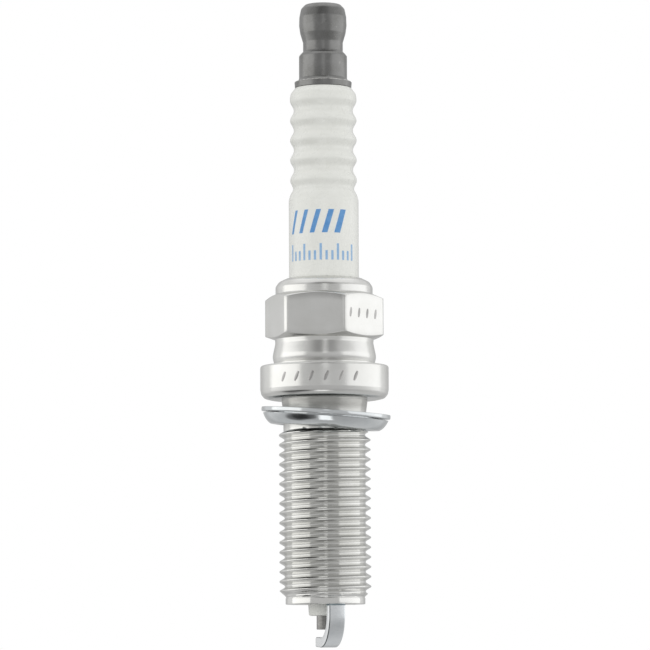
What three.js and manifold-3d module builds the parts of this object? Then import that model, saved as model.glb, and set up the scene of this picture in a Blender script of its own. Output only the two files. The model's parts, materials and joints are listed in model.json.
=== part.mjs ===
// Long-reach motorcycle spark plug, M12 x 1.25 thread, 14 mm hexagon, resistor type, with a solid terminal.
// Millimetres. +Z runs along the plug towards the terminal. The origin is on the plug's axis,
// in the plane of the shell's gasket seat, so everything that goes into the cylinder head is below z = 0.
import * as THREE from "three";
import { mergeVertices } from "three/addons/utils/BufferGeometryUtils.js";
import Module from "manifold-3d";

const wasm = await Module();
wasm.setup();

// ---- driving dimensions ----

const SEGMENTS = 32; // facets round every turned surface, the same on all so that neighbours stay parallel
const CURVE_STEPS = 4; // points along each rounded stretch of a turned outline
const CLEARANCE = 0.02; // between pieces that are pressed, fused or packed together

// Screw thread
const PITCH = 1.25;
const MAJOR_RADIUS = 5.9;
const MINOR_RADIUS = 5.22;
const ROOT_SHARE = 0.25; // share of the pitch that is flat root
const CREST_SHARE = 0.125; // share of the pitch that is flat crest
const THREAD_TOP = -4.0;
const THREAD_BOTTOM = -25.3;
const THREAD_CREST_AT = -24.6; // height of one crest on the -X side

// Metal shell
const SHELL_END = -26.25; // just short of the standard 26.5 mm reach
const PILOT_RADIUS = 5.1;
const NECK_RADIUS = 5.42;
const FLANGE_RADIUS = 8.3;
const FLANGE_TOP = 4.35;
const GROOVE_RADIUS = 6.35; // waist just under the hexagon
const BULGE_RADIUS = 6.62; // the wall swells here when the shell is crimped hot
const CRIMP_RADIUS = 6.25;
const CRIMP_TOP = 15.55;
const HEX_ACROSS_FLATS = 13.55;
const HEX_BOTTOM = 7.7;
const HEX_TOP = 13.5;
const HEX_TURN = THREE.MathUtils.degToRad(-9.7); // direction of one corner
const BORE_RADIUS = 3.9; // through the threaded part
const LEDGE_RADIUS = 3.35; // the inner ledge that carries the insulator
const LEDGE_TOP = -13.0;
const BARREL_BORE_RADIUS = 5.2; // round the insulator's thick middle
const LIP_RADIUS = 4.56; // inner edge of the crimped rim

// Insulator
const INSULATOR_TOP = 40.3;
const NOSE_TIP = -27.7;
const NOSE_TIP_RADIUS = 2.12;
const NOSE_ROOT_RADIUS = 3.1;
const BARREL_TOP = 10.3;
const HEAD_RADIUS = 4.5;
const HEAD_TOP = 25.9; // the smooth, printed part of the head ends here and the ribs begin
const RIB_COUNT = 5;
const RIB_PITCH = 2.58;
const FIRST_RIB = 28.35;
const RIB_RADIUS = 4.3;
const VALLEY_RADIUS = 3.82;
const RIB_STEPS = 6; // points along one rib
const UPPER_BORE_RADIUS = 1.9;
const LOWER_BORE_RADIUS = 1.18;
const BORE_STEP = -5.5; // where the electrode's head rests in the insulator

// Conductor stack inside the insulator
const SHANK_RADIUS = UPPER_BORE_RADIUS - CLEARANCE;
const SHANK_TIP_RADIUS = 1.5;
const SHANK_TIP_TOP = 14.0;
const SHANK_END = 11.0;
const UPPER_SEAL_BOTTOM = 9.5;
const RESISTOR_BOTTOM = -1.2;
const ELECTRODE_RADIUS = 1.15;
const ELECTRODE_HEAD_RADIUS = 1.75;
const ELECTRODE_HEAD_TOP = -4.2;
const ELECTRODE_TIP = -29.45;
const CORE_RADIUS = 0.6;
const CORE_BOTTOM = -27.2;

// Terminal
const TERMINAL_FLANGE_RADIUS = 3.7;
const TERMINAL_FLANGE_TOP = 41.05;
const TERMINAL_RADIUS = 3.14;
const TERMINAL_NECK_RADIUS = 2.6;
const TERMINAL_TOP = 51.3;
const TERMINAL_TOP_FLAT = 1.2; // radius of the flat on the crown

// Ground electrode
const STRAP_TURN = THREE.MathUtils.degToRad(-73); // direction of its leg
const STRAP_WIDTH = 2.15;
const STRAP_THICKNESS = 1.25;
const STRAP_OUTER = 5.05; // distance of its outer face from the axis
const STRAP_BEND = 4.0; // outer radius of its bend
const STRAP_LOWEST = -31.75;
const STRAP_TIP = -0.9; // how far its free end reaches past the axis
const STRAP_RISE = THREE.MathUtils.degToRad(3); // the arm climbs this much towards its free end

// Gasket: folded sheet, loose on the shell's neck
const GASKET_RADIUS = 8.3;
const GASKET_FOOT_RADIUS = 7.35;
const GASKET_HOLE_RADIUS = 5.8; // smaller than the thread, which keeps the gasket on the neck
const GASKET_HEIGHT = 2.1;
const GASKET_SHEET = 0.55;
const GASKET_SLIT = 0.1; // gap between the top leaf and the folded edge under it
const GASKET_TILT = THREE.MathUtils.degToRad(4.69); // how far it hangs from the seat
const GASKET_LOW_SIDE = THREE.MathUtils.degToRad(-25.3); // direction of its lowest edge
const GASKET_PIVOT = 17.7; // distance from the axis to the line where its plane meets the seat
const GASKET_OFFSET = 0.25; // how far it sits off the axis, towards +X, on the neck it fits loosely

// ---- geometry helpers ----

// A turned solid about Z. The path's points are (radius, height), anticlockwise with radius to the right.
function turned(path, segments = SEGMENTS) {
  const points = path.getPoints(CURVE_STEPS);
  return new THREE.LatheGeometry(points, segments).rotateX(Math.PI / 2);
}

// A closed manifold-3d solid from a three.js geometry: shared vertices merged, collapsed triangles dropped.
function solid(geometry) {
  const bare = geometry.index ? geometry.toNonIndexed() : geometry.clone();
  bare.deleteAttribute("normal");
  bare.deleteAttribute("uv");
  const merged = mergeVertices(bare, 1e-4);
  const corners = merged.index.array;
  const kept = [];
  for (let i = 0; i < corners.length; i += 3) {
    const [a, b, c] = corners.slice(i, i + 3);
    if (a !== b && b !== c && c !== a) kept.push(a, b, c);
  }
  const mesh = new wasm.Mesh({
    numProp: 3,
    vertProperties: merged.attributes.position.array,
    triVerts: new Uint32Array(kept),
  });
  return new wasm.Manifold(mesh);
}

// A three.js geometry from a manifold-3d solid.
function geometryOf(manifold) {
  const { vertProperties, triVerts } = manifold.getMesh();
  const geometry = new THREE.BufferGeometry();
  geometry.setAttribute("position", new THREE.BufferAttribute(vertProperties, 3));
  geometry.setIndex(new THREE.BufferAttribute(triVerts, 1));
  geometry.computeVertexNormals();
  return geometry;
}

function path(startRadius, startHeight) {
  return new THREE.Path().moveTo(startRadius, startHeight);
}

// A plain round bar on the axis.
function bar(radius, bottom, top) {
  return turned(path(0, bottom).lineTo(radius, bottom).lineTo(radius, top).lineTo(0, top));
}

// A ring of round wire that lies flat round the axis.
function wireRing(ringRadius, wireRadius, height) {
  const facets = 8;
  return new THREE.TorusGeometry(ringRadius, wireRadius, facets, SEGMENTS).translate(0, 0, height);
}

// ---- materials ----

function material(color, roughness, metalness) {
  return new THREE.MeshStandardMaterial({ color, roughness, metalness });
}

const nickelPlate = material(0xc9c8c3, 0.28, 1);
const brightZinc = material(0xd3d7da, 0.12, 1);
const darkSteel = material(0x74746f, 0.42, 0.9);
const glazedAlumina = material(0xe9eae5, 0.22, 0);
const nickelAlloy = material(0xaaacad, 0.35, 1);
const electrodeAlloy = material(0x6f6f6f, 0.4, 1);
const copper = material(0xb87a55, 0.4, 1);
const copperGlass = material(0x4b3f3a, 0.6, 0.1);
const carbonGlass = material(0x26262a, 0.7, 0);
const softSteel = material(0x9a9a98, 0.5, 1);
const talc = material(0xdedbd2, 0.95, 0);

// ---- pieces ----

// Screw thread as a helicoidal skin round a solid core, right-handed, closed by a fan at each end.
function threadedBar() {
  const flank = (1 - ROOT_SHARE - CREST_SHARE) / 2;
  const section = [
    [0, MINOR_RADIUS],
    [ROOT_SHARE, MINOR_RADIUS],
    [ROOT_SHARE + flank, MAJOR_RADIUS],
    [ROOT_SHARE + flank + CREST_SHARE, MAJOR_RADIUS],
  ];
  const crestMiddle = ROOT_SHARE + flank + CREST_SHARE / 2;
  const turns = Math.ceil((THREAD_TOP - THREAD_BOTTOM) / PITCH) + 3;
  const crestPhase = THREAD_CREST_AT - PITCH * (crestMiddle + 0.5);
  const bottom = crestPhase - 2 * PITCH;
  const rings = turns * SEGMENTS;
  const positions = [];
  for (let k = 0; k <= rings; k++) {
    const angle = (2 * Math.PI * k) / SEGMENTS;
    for (const [share, radius] of section) {
      const height = bottom + PITCH * (k / SEGMENTS + share);
      positions.push(radius * Math.cos(angle), radius * Math.sin(angle), height);
    }
  }
  const at = (k, j) => k * section.length + j;
  // The skin: each vertex's neighbour above the section's last point starts the next turn.
  const triangles = [];
  const quad = (a, b, c, d) => triangles.push(a, b, c, a, c, d);
  for (let k = 0; k < rings; k++) {
    for (let j = 0; j + 1 < section.length; j++) {
      quad(at(k, j), at(k + 1, j), at(k + 1, j + 1), at(k, j + 1));
    }
    if (k + SEGMENTS < rings) {
      const last = section.length - 1;
      quad(at(k, last), at(k + 1, last), at(k + 1 + SEGMENTS, 0), at(k + SEGMENTS, 0));
    }
  }
  // The end fans follow the edge of the skin round one turn and back down the section.
  const lowEdge = [];
  for (let k = 0; k < SEGMENTS; k++) lowEdge.push(at(k, 0));
  lowEdge.push(at(SEGMENTS, 0));
  for (let j = section.length - 1; j > 0; j--) lowEdge.push(at(0, j));
  const highEdge = [];
  const last = section.length - 1;
  for (let k = rings - SEGMENTS; k <= rings; k++) highEdge.push(at(k, last));
  for (let j = last - 1; j >= 0; j--) highEdge.push(at(rings, j));
  const lowCentre = positions.length / 3;
  positions.push(0, 0, bottom - PITCH);
  const highCentre = positions.length / 3;
  positions.push(0, 0, bottom + PITCH * (turns + 2));
  lowEdge.forEach((v, i) => triangles.push(lowCentre, lowEdge[(i + 1) % lowEdge.length], v));
  highEdge.forEach((v, i) => triangles.push(highCentre, v, highEdge[(i + 1) % highEdge.length]));
  const geometry = new THREE.BufferGeometry();
  geometry.setAttribute("position", new THREE.Float32BufferAttribute(positions, 3));
  geometry.setIndex(triangles);
  return geometry;
}

// The thread's outer limit: full crests between a run-out at the neck and a lead-in chamfer at the pilot.
function threadEnvelope() {
  const leadIn = MAJOR_RADIUS - PILOT_RADIUS + 0.05;
  const runOut = MAJOR_RADIUS - NECK_RADIUS + 0.1;
  return turned(
    path(0, THREAD_BOTTOM)
      .lineTo(MAJOR_RADIUS - leadIn, THREAD_BOTTOM)
      .lineTo(MAJOR_RADIUS + 0.1, THREAD_BOTTOM + leadIn)
      .lineTo(MAJOR_RADIUS + 0.1, THREAD_TOP - runOut)
      .lineTo(MAJOR_RADIUS - runOut, THREAD_TOP)
      .lineTo(0, THREAD_TOP),
  );
}

// Everything that is turned on the outside of the shell, from the pilot up to the crimped rim.
function shellOutside() {
  const seatEdge = FLANGE_RADIUS - 0.8;
  return turned(
    path(0, SHELL_END)
      .lineTo(PILOT_RADIUS - 0.1, SHELL_END)
      .lineTo(PILOT_RADIUS, SHELL_END + 0.1)
      .lineTo(PILOT_RADIUS, THREAD_BOTTOM + 0.2)
      .lineTo(NECK_RADIUS - 0.4, THREAD_BOTTOM + 0.4)
      .lineTo(NECK_RADIUS - 0.4, THREAD_TOP - 0.4)
      .lineTo(NECK_RADIUS, THREAD_TOP)
      .lineTo(NECK_RADIUS, 0)
      .lineTo(seatEdge, 0)
      .quadraticCurveTo(FLANGE_RADIUS - 0.1, 0.15, FLANGE_RADIUS, 1.1)
      .lineTo(FLANGE_RADIUS, FLANGE_TOP - 0.25)
      .quadraticCurveTo(FLANGE_RADIUS, FLANGE_TOP, FLANGE_RADIUS - 0.25, FLANGE_TOP)
      .lineTo(BULGE_RADIUS - 0.1, FLANGE_TOP)
      .quadraticCurveTo(BULGE_RADIUS + 0.1, FLANGE_TOP + 1.5, GROOVE_RADIUS + 0.05, HEX_BOTTOM - 0.6)
      .lineTo(GROOVE_RADIUS, HEX_BOTTOM + 0.2)
      .lineTo(CRIMP_RADIUS, HEX_TOP)
      .lineTo(CRIMP_RADIUS, CRIMP_TOP - 1.5)
      .quadraticCurveTo(CRIMP_RADIUS, CRIMP_TOP - 0.55, LIP_RADIUS + 0.5, CRIMP_TOP - 0.08)
      .lineTo(LIP_RADIUS, CRIMP_TOP)
      .lineTo(0, CRIMP_TOP),
  );
}

// The hexagon, with its corners turned off by a shallow cone at each end.
function hexagon() {
  const cornerRadius = HEX_ACROSS_FLATS / Math.sqrt(3);
  const outside = cornerRadius + 0.3;
  const prism = new THREE.CylinderGeometry(cornerRadius, cornerRadius, 8, 6, 1)
    .rotateX(Math.PI / 2)
    .rotateZ(HEX_TURN + Math.PI / 2)
    .translate(0, 0, (HEX_BOTTOM + HEX_TOP) / 2);
  const cones = turned(
    path(0, HEX_BOTTOM)
      .lineTo(GROOVE_RADIUS, HEX_BOTTOM)
      .lineTo(outside, HEX_BOTTOM + 0.36 * (outside - GROOVE_RADIUS))
      .lineTo(outside, HEX_TOP - 0.42 * (outside - CRIMP_RADIUS))
      .lineTo(CRIMP_RADIUS, HEX_TOP)
      .lineTo(0, HEX_TOP),
  );
  return solid(prism).intersect(solid(cones));
}

// The stepped hole through the shell, with the ledge that the insulator is pressed against.
function shellBore() {
  const past = 1; // the cutter runs this far past the end face and the rim
  return turned(
    path(0, SHELL_END - past)
      .lineTo(BORE_RADIUS, SHELL_END - past)
      .lineTo(BORE_RADIUS, LEDGE_TOP - 3)
      .lineTo(LEDGE_RADIUS, LEDGE_TOP - 2.3)
      .lineTo(LEDGE_RADIUS, LEDGE_TOP - 0.6)
      .lineTo(BORE_RADIUS, LEDGE_TOP)
      .lineTo(BORE_RADIUS, 0.3)
      .lineTo(BARREL_BORE_RADIUS, 2.4)
      .lineTo(BARREL_BORE_RADIUS, CRIMP_TOP - 1.5)
      .lineTo(LIP_RADIUS + 0.4, CRIMP_TOP - 0.85)
      .lineTo(LIP_RADIUS, CRIMP_TOP - 0.65)
      .lineTo(LIP_RADIUS, CRIMP_TOP + past)
      .lineTo(0, CRIMP_TOP + past),
  );
}

function shell() {
  const thread = solid(threadedBar()).intersect(solid(threadEnvelope()));
  const outside = solid(shellOutside()).add(thread).add(hexagon());
  return geometryOf(outside.subtract(solid(shellBore())));
}

// Ribs of the insulator's head from the bottom up: rounded crests with slightly flatter valleys between.
function addRibs(outline) {
  const bottom = FIRST_RIB - RIB_PITCH / 2;
  const steps = RIB_COUNT * RIB_STEPS - RIB_STEPS / 2;
  for (let i = 0; i <= steps; i++) {
    const wave = (1 - Math.cos((2 * Math.PI * i) / RIB_STEPS)) / 2;
    const radius = VALLEY_RADIUS + (RIB_RADIUS - VALLEY_RADIUS) * wave;
    outline.lineTo(radius, bottom + (RIB_PITCH * i) / RIB_STEPS);
  }
  return outline;
}

function insulator() {
  const barrelRadius = BARREL_BORE_RADIUS - 0.05;
  const stemRadius = BORE_RADIUS - 0.05;
  const outline = path(LOWER_BORE_RADIUS, NOSE_TIP)
    .lineTo(NOSE_TIP_RADIUS - 0.25, NOSE_TIP)
    .quadraticCurveTo(NOSE_TIP_RADIUS, NOSE_TIP, NOSE_TIP_RADIUS + 0.02, NOSE_TIP + 0.3)
    .lineTo(NOSE_ROOT_RADIUS, LEDGE_TOP - 1.6)
    .lineTo(LEDGE_RADIUS - 0.1, LEDGE_TOP - 0.3)
    .lineTo(stemRadius, LEDGE_TOP + 0.4)
    .lineTo(stemRadius, 0.35)
    .lineTo(barrelRadius, 2.45)
    .lineTo(barrelRadius, BARREL_TOP)
    .lineTo(HEAD_RADIUS, BARREL_TOP + 0.8)
    .lineTo(HEAD_RADIUS, HEAD_TOP - 0.3)
    .quadraticCurveTo(HEAD_RADIUS, HEAD_TOP, HEAD_RADIUS - 0.1, HEAD_TOP + 0.3);
  addRibs(outline)
    .lineTo(RIB_RADIUS - 0.02, FIRST_RIB + RIB_PITCH * (RIB_COUNT - 1) + 0.45)
    .lineTo(TERMINAL_FLANGE_RADIUS - 0.12, INSULATOR_TOP)
    .lineTo(UPPER_BORE_RADIUS, INSULATOR_TOP)
    .lineTo(UPPER_BORE_RADIUS, BORE_STEP + 0.7)
    .lineTo(LOWER_BORE_RADIUS, BORE_STEP)
    .lineTo(LOWER_BORE_RADIUS, NOSE_TIP);
  return turned(outline);
}

// Post, crown and flange in one piece with the shank that runs down inside the insulator.
function terminalStud() {
  const flangeBottom = INSULATOR_TOP + CLEARANCE;
  const neckBottom = 45.1;
  const neckTop = 46.1;
  return turned(
    path(0, SHANK_END)
      .lineTo(SHANK_TIP_RADIUS - 0.3, SHANK_END)
      .lineTo(SHANK_TIP_RADIUS, SHANK_END + 0.5)
      .lineTo(SHANK_TIP_RADIUS, SHANK_TIP_TOP)
      .lineTo(SHANK_RADIUS, SHANK_TIP_TOP + 0.5)
      .lineTo(SHANK_RADIUS, flangeBottom)
      .lineTo(TERMINAL_FLANGE_RADIUS - 0.1, flangeBottom)
      .lineTo(TERMINAL_FLANGE_RADIUS, TERMINAL_FLANGE_TOP - 0.1)
      .lineTo(TERMINAL_FLANGE_RADIUS - 0.12, TERMINAL_FLANGE_TOP)
      .lineTo(TERMINAL_RADIUS + 0.2, TERMINAL_FLANGE_TOP)
      .quadraticCurveTo(TERMINAL_RADIUS, TERMINAL_FLANGE_TOP, TERMINAL_RADIUS, TERMINAL_FLANGE_TOP + 0.6)
      .lineTo(TERMINAL_RADIUS, neckBottom - 0.85)
      .lineTo(TERMINAL_NECK_RADIUS + 0.05, neckBottom)
      .lineTo(TERMINAL_NECK_RADIUS, neckTop)
      .quadraticCurveTo(TERMINAL_NECK_RADIUS + 0.1, neckTop + 1.2, TERMINAL_RADIUS - 0.08, neckTop + 1.9)
      .quadraticCurveTo(TERMINAL_RADIUS + 0.1, neckTop + 2.6, TERMINAL_RADIUS - 0.22, neckTop + 3.9)
      .quadraticCurveTo(TERMINAL_RADIUS - 0.5, TERMINAL_TOP - 0.15, TERMINAL_TOP_FLAT, TERMINAL_TOP)
      .lineTo(0, TERMINAL_TOP),
  );
}

// Conductive glass that is melted round the stud's tip and holds it in the bore.
function upperGlassSeal() {
  const cup = SHANK_TIP_RADIUS + CLEARANCE;
  return turned(
    path(0, UPPER_SEAL_BOTTOM + CLEARANCE)
      .lineTo(SHANK_RADIUS, UPPER_SEAL_BOTTOM + CLEARANCE)
      .lineTo(SHANK_RADIUS, SHANK_TIP_TOP - 0.1)
      .lineTo(cup, SHANK_TIP_TOP - 0.1)
      .lineTo(cup, SHANK_END - CLEARANCE)
      .lineTo(0, SHANK_END - CLEARANCE),
  );
}

function resistor() {
  return bar(SHANK_RADIUS, RESISTOR_BOTTOM + CLEARANCE, UPPER_SEAL_BOTTOM);
}

function lowerGlassSeal() {
  return bar(SHANK_RADIUS, ELECTRODE_HEAD_TOP + CLEARANCE, RESISTOR_BOTTOM);
}

// Nickel-alloy cup with a shoulder at its open end; the copper core is pressed in from above.
function centreElectrode() {
  const wall = CORE_RADIUS + CLEARANCE;
  return turned(
    path(0, ELECTRODE_TIP)
      .lineTo(ELECTRODE_RADIUS - 0.08, ELECTRODE_TIP)
      .lineTo(ELECTRODE_RADIUS, ELECTRODE_TIP + 0.08)
      .lineTo(ELECTRODE_RADIUS, BORE_STEP)
      .lineTo(ELECTRODE_HEAD_RADIUS, BORE_STEP + 0.65)
      .lineTo(ELECTRODE_HEAD_RADIUS, ELECTRODE_HEAD_TOP - 0.2)
      .lineTo(ELECTRODE_HEAD_RADIUS - 0.2, ELECTRODE_HEAD_TOP)
      .lineTo(wall, ELECTRODE_HEAD_TOP)
      .lineTo(wall, CORE_BOTTOM - CLEARANCE)
      .lineTo(0, CORE_BOTTOM - CLEARANCE),
  );
}

function centreElectrodeCore() {
  return bar(CORE_RADIUS, CORE_BOTTOM, ELECTRODE_HEAD_TOP - CLEARANCE);
}

// Conical washer between the insulator's step and the shell's ledge.
function seatPacking() {
  const gap = 0.1;
  return turned(
    path(LEDGE_RADIUS + 0.05, LEDGE_TOP - 0.6 + gap)
      .lineTo(BORE_RADIUS - CLEARANCE, LEDGE_TOP + gap)
      .lineTo(BORE_RADIUS - CLEARANCE, LEDGE_TOP + 0.32)
      .lineTo(LEDGE_RADIUS + 0.05, LEDGE_TOP - 0.25)
      .closePath(),
  );
}

const PACKING_RADIUS = (HEAD_RADIUS + BARREL_BORE_RADIUS) / 2;
const WIRE_RADIUS = (BARREL_BORE_RADIUS - HEAD_RADIUS) / 2 - CLEARANCE;
const UPPER_RING = CRIMP_TOP - 1.6;
const LOWER_RING = BARREL_TOP + 1.1;

// Talc powder, rammed between the two wire rings.
function talcPacking() {
  const top = UPPER_RING - WIRE_RADIUS - CLEARANCE;
  const bottom = LOWER_RING + WIRE_RADIUS + CLEARANCE;
  return turned(
    path(HEAD_RADIUS + CLEARANCE, bottom)
      .lineTo(BARREL_BORE_RADIUS - CLEARANCE, bottom)
      .lineTo(BARREL_BORE_RADIUS - CLEARANCE, top)
      .lineTo(HEAD_RADIUS + CLEARANCE, top)
      .closePath(),
  );
}

// Flat bar bent into a hook: its leg stands on the shell's end face, and its arm faces the centre electrode.
function groundElectrode() {
  const inner = STRAP_OUTER - STRAP_THICKNESS;
  const centre = STRAP_OUTER - STRAP_BEND;
  const bendHeight = STRAP_LOWEST + STRAP_BEND;
  const innerBend = STRAP_BEND - STRAP_THICKNESS;
  const end = -Math.PI / 2 - STRAP_RISE;
  const reach = (centre + innerBend * Math.cos(end) - STRAP_TIP) / Math.cos(STRAP_RISE);
  const along = new THREE.Vector2(-Math.cos(STRAP_RISE), Math.sin(STRAP_RISE)).multiplyScalar(reach);
  const outerEnd = new THREE.Vector2(Math.cos(end), Math.sin(end)).multiplyScalar(STRAP_BEND);
  const outline = new THREE.Shape()
    .moveTo(inner, SHELL_END - CLEARANCE)
    .lineTo(inner, bendHeight)
    .absarc(centre, bendHeight, innerBend, 0, end, true)
    .lineTo(centre + innerBend * Math.cos(end) + along.x, bendHeight + innerBend * Math.sin(end) + along.y)
    .lineTo(centre + outerEnd.x + along.x, bendHeight + outerEnd.y + along.y)
    .absarc(centre, bendHeight, STRAP_BEND, end, 0, false)
    .lineTo(STRAP_OUTER, SHELL_END - CLEARANCE);
  return new THREE.ExtrudeGeometry(outline, { depth: STRAP_WIDTH, bevelEnabled: false, curveSegments: 12 })
    .translate(0, 0, -STRAP_WIDTH / 2)
    .rotateX(Math.PI / 2);
}

// Folded sheet: a flat top leaf, turned down round the hole, out along the foot and up under the leaf's rim.
// Heights run down from 0 at the top leaf, which is the face that meets the shell's seat.
function gasket() {
  const rimUnderside = -GASKET_SHEET;
  const foldTop = rimUnderside - GASKET_SLIT;
  const inside = GASKET_HOLE_RADIUS + GASKET_SHEET;
  const footTop = GASKET_SHEET - GASKET_HEIGHT;
  return turned(
    path(GASKET_HOLE_RADIUS + 0.2, 0)
      .quadraticCurveTo(GASKET_HOLE_RADIUS, 0, GASKET_HOLE_RADIUS, -0.3)
      .lineTo(GASKET_HOLE_RADIUS, 0.3 - GASKET_HEIGHT)
      .quadraticCurveTo(GASKET_HOLE_RADIUS, -GASKET_HEIGHT, GASKET_HOLE_RADIUS + 0.2, -GASKET_HEIGHT)
      .lineTo(GASKET_FOOT_RADIUS - 0.2, -GASKET_HEIGHT)
      .quadraticCurveTo(GASKET_FOOT_RADIUS + 0.6, 0.3 - GASKET_HEIGHT, GASKET_RADIUS - 0.15, foldTop)
      .lineTo(GASKET_RADIUS - 0.15 - GASKET_SHEET, foldTop)
      .quadraticCurveTo(GASKET_FOOT_RADIUS + 0.2, footTop + 0.15, GASKET_FOOT_RADIUS - 0.3, footTop)
      .lineTo(inside, footTop)
      .lineTo(inside, rimUnderside)
      .lineTo(GASKET_RADIUS, rimUnderside)
      .lineTo(GASKET_RADIUS, 0)
      .closePath(),
  );
}

// Places a flush gasket where it hangs, turned about a line in the seat plane, GASKET_PIVOT from the axis.
function hung(mesh) {
  const lowSide = new THREE.Vector3(Math.cos(GASKET_LOW_SIDE), Math.sin(GASKET_LOW_SIDE), 0);
  const hinge = new THREE.Vector3(-lowSide.y, lowSide.x, 0);
  const pivot = new THREE.Group();
  pivot.position.copy(lowSide).multiplyScalar(-GASKET_PIVOT);
  pivot.quaternion.setFromAxisAngle(hinge, GASKET_TILT);
  mesh.position.copy(lowSide).multiplyScalar(GASKET_PIVOT);
  mesh.position.x += GASKET_OFFSET;
  mesh.position.z = -CLEARANCE;
  pivot.add(mesh);
  return pivot;
}

// ---- assembly ----

function named(name, geometry, finish) {
  const mesh = new THREE.Mesh(geometry, finish);
  mesh.name = name;
  return mesh;
}

const sparkPlug = new THREE.Group();
sparkPlug.add(
  named("terminal_stud", terminalStud(), darkSteel),
  named("insulator", insulator(), glazedAlumina),
  named("upper_glass_seal", upperGlassSeal(), copperGlass),
  named("resistor", resistor(), carbonGlass),
  named("lower_glass_seal", lowerGlassSeal(), copperGlass),
  named("centre_electrode", centreElectrode(), electrodeAlloy),
  named("centre_electrode_core", centreElectrodeCore(), copper),
  named("shell", shell(), nickelPlate),
  named("upper_packing_ring", wireRing(PACKING_RADIUS, WIRE_RADIUS, UPPER_RING), softSteel),
  named("talc_packing", talcPacking(), talc),
  named("lower_packing_ring", wireRing(PACKING_RADIUS, WIRE_RADIUS, LOWER_RING), softSteel),
  named("seat_packing", seatPacking(), softSteel),
);

const strap = named("ground_electrode", groundElectrode(), nickelAlloy);
strap.rotation.z = STRAP_TURN;
sparkPlug.add(strap);

sparkPlug.add(hung(named("gasket", gasket(), brightZinc)));

export default sparkPlug;
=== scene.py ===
"""Looks of a long-reach spark plug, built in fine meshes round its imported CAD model.

Lengths in the tables below are millimetres in the CAD frame (+Z towards the terminal, z = 0 at the
gasket seat); every mesh is scaled to metres as it is made.
"""

import json
import math
import random

import bmesh
import bpy
import numpy as np
from mathutils import Matrix, Vector

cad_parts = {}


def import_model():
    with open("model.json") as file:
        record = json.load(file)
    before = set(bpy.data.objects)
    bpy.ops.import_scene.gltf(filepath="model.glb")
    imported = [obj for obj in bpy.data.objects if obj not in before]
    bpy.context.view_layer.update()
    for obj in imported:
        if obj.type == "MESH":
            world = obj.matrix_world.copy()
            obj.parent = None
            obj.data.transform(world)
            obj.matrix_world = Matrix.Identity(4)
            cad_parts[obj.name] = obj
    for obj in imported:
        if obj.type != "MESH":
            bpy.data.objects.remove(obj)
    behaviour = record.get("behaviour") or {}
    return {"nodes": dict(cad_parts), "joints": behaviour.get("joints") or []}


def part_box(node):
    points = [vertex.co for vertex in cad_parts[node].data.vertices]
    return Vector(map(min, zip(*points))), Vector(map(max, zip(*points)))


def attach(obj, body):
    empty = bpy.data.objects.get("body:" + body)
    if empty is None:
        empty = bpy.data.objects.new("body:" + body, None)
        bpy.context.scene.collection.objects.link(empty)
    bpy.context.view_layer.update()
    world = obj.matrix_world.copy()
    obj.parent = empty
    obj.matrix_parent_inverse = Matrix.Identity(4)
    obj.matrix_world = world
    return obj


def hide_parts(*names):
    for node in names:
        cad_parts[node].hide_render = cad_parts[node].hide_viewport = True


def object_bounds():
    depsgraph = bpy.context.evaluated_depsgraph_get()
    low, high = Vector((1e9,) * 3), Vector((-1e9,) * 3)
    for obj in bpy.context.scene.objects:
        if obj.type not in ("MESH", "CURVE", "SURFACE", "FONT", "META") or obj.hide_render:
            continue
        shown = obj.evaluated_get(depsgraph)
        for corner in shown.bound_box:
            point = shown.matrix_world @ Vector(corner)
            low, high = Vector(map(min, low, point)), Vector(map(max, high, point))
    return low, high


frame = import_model()
cad_low, cad_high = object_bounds()

MM = 0.001

# ---- sizes that the looks share with the frame, in mm ----


def box_mm(node):
    low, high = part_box(node)
    return low / MM, high / MM


def side(node):
    """Largest distance from the axis of a round node."""
    return box_mm(node)[1].x


SHELL_END = box_mm("shell")[0].z
CRIMP_TOP = box_mm("shell")[1].z
FLANGE_RADIUS = side("shell")
NOSE_TIP = box_mm("insulator")[0].z
INSULATOR_TOP = box_mm("insulator")[1].z
TERMINAL_TOP = box_mm("terminal_stud")[1].z
ELECTRODE_TIP = box_mm("centre_electrode")[0].z
STRAP_LOWEST = box_mm("ground_electrode")[0].z

HEX_ACROSS_FLATS = 13.55
HEX_BOTTOM = 7.7
HEX_TOP = 13.5
HEX_TURN = math.radians(-9.7)
HEX_CORNER = 0.75  # radius of the hexagon's vertical edges
FLANGE_TOP = 4.35
RIM_RADIUS = FLANGE_RADIUS - 0.05  # the flange under its stamped marks
GROOVE_RADIUS = 6.35
CRIMP_RADIUS = 6.25
LIP_RADIUS = 4.56
BORE_RADIUS = 3.9
BARREL_BORE_RADIUS = 5.2
LEDGE_RADIUS = 3.35
LEDGE_TOP = -13.0
NECK_RADIUS = 5.42
PILOT_RADIUS = 5.1
END_ROUND = 0.06  # how far the plain ends of the thread lie inside the pilot
NECK_WAIST = NECK_RADIUS - 0.12  # the neck where the thread runs out

PITCH = 1.25
CREST_RADIUS = 5.9
ROOT_RADIUS = 5.18
THREAD_TOP = -4.0
THREAD_BOTTOM = -25.3
THREAD_CREST_AT = -24.6  # height of one crest on the -X side

UPPER_BORE_RADIUS = 1.9
LOWER_BORE_RADIUS = 1.18
BORE_STEP = -5.5  # where the electrode's head rests in the insulator
HEAD_RADIUS = 4.5
HEAD_TOP = 25.9
RIB_COUNT = 5
RIB_PITCH = 2.58
FIRST_RIB = 28.35
RIB_RADIUS = 4.3
VALLEY_RADIUS = 3.82

TERMINAL_FLANGE_HEIGHT = 0.83
SHANK_END = 11.0
SHANK_TIP_TOP = 14.0
ELECTRODE_RADIUS = 1.15
ELECTRODE_HEAD_RADIUS = 1.75
ELECTRODE_HEAD_TOP = -4.2
CORE_HOLE_RADIUS = 0.62
CORE_HOLE_END = -27.42

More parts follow.
